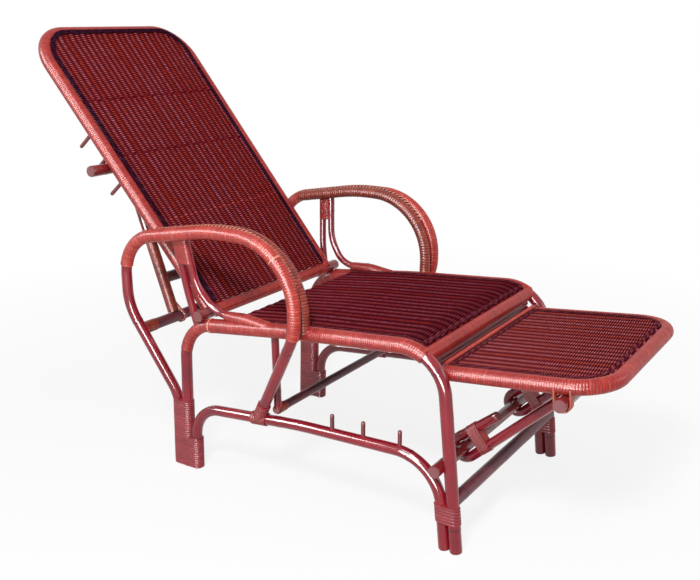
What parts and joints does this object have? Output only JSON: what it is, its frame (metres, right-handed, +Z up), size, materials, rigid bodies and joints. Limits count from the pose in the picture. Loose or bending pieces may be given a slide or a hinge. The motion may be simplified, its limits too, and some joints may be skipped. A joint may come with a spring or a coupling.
{
  "type": "planters chair",
  "caption": "Reclining planters chair of bent rattan poles bound with split bark, with woven seat, propped back and hinged leg rest.",
  "frame": {"origin": "middle of the footprint, on the floor", "axes": "+X across the chair to the sitter's left, -Y the way the sitter faces, +Z up"},
  "size_m": [0.686, 1.5909, 1.0976],
  "materials": {
    "bound_pole": "split cane wound round the pole, red-brown stain, semi-gloss",
    "lacquered_pole": "bare rattan pole, crimson stain, high-gloss lacquer",
    "rod": "bare rattan rod, gloss lacquer, dull cut ends",
    "bare_cane": "brown-stained rattan, satin",
    "bark": "split bark strand, semi-gloss",
    "weave": "close rattan weave, dark maroon, satin"
  },
  "bodies": {
    "frame": {"main_pole_left": "bound_pole", "brace_pole_left": "lacquered_pole", "brace_peg_left_1": "bare_cane", "brace_peg_left_2": "bare_cane", "brace_peg_left_3": "bare_cane", "arm_pole_left": "bound_pole", "arm_inner_pole_left": "bound_pole", "arm_post_straight_left": "bare_cane", "arm_post_curved_left": "bare_cane", "arm_post_binding_left": "bark", "mid_post_left": "bare_cane", "rear_foot_binding_left": "bark", "rear_leg_binding_left": "bark", "front_foot_binding_left": "bark", "strut_binding_left": "bark", "main_pole_right": "bound_pole", "brace_pole_right": "lacquered_pole", "brace_peg_right_1": "bare_cane", "brace_peg_right_2": "bare_cane", "brace_peg_right_3": "bare_cane", "arm_pole_right": "bound_pole", "arm_inner_pole_right": "bound_pole", "arm_post_straight_right": "bare_cane", "arm_post_curved_right": "bare_cane", "arm_post_binding_right": "bark", "mid_post_right": "bare_cane", "rear_foot_binding_right": "bark", "rear_leg_binding_right": "bark", "front_foot_binding_right": "bark", "strut_binding_right": "bark", "rear_crossbar": "bare_cane", "front_stretcher": "bare_cane", "mid_stretcher": "bare_cane", "seat_front_bar": "bound_pole", "seat_rear_bar": "bare_cane", "seat_panel": "weave"},
    "back": {"back_hoop": "bound_pole", "back_axle": "rod", "back_panel": "weave", "back_peg_left_1": "bare_cane", "back_peg_left_2": "bare_cane", "back_peg_left_3": "bare_cane", "back_peg_right_1": "bare_cane", "back_peg_right_2": "bare_cane", "back_peg_right_3": "bare_cane"},
    "back_prop": {"back_prop_pole_left": "bound_pole", "back_prop_strap_left": "bark", "back_prop_pole_right": "bound_pole", "back_prop_strap_right": "bark", "back_prop_rod": "rod", "back_prop_bar": "bare_cane"},
    "legrest": {"legrest_hoop": "bound_pole", "legrest_pivot_bar": "bare_cane", "legrest_panel": "weave", "legrest_strap_left": "bark", "legrest_strap_right": "bark"},
    "legrest_prop": {"legrest_prop_pole_left": "lacquered_pole", "legrest_prop_pole_right": "lacquered_pole", "legrest_hinge_rod": "rod", "legrest_notch_rod": "rod"}
  },
  "joints": [
    {"name": "back_recline", "type": "hinge", "parent": "frame", "child": "back", "pos_m": [0, 0.2154, 0.4224], "axis": [1, 0, 0], "range_deg": [0, 10]},
    {"name": "back_prop_swing", "type": "hinge", "parent": "frame", "child": "back_prop", "pos_m": [0, 0.39459, 0.362], "axis": [1, 0, 0], "range_deg": [0, 11.4]},
    {"name": "legrest_lift", "type": "hinge", "parent": "frame", "child": "legrest", "pos_m": [0, -0.42741, 0.404], "axis": [1, 0, 0], "range_deg": [-15, 0]},
    {"name": "legrest_prop_swing", "type": "hinge", "parent": "legrest", "child": "legrest_prop", "pos_m": [0, -0.69803, 0.39155], "axis": [1, 0, 0], "range_deg": [0, 18.15]}
  ],
  "couplings": [
    {"joint": "back_prop_swing", "follows": "back_recline", "ratio": 1.14},
    {"joint": "legrest_prop_swing", "follows": "legrest_lift", "ratio": -1.21}
  ]
}
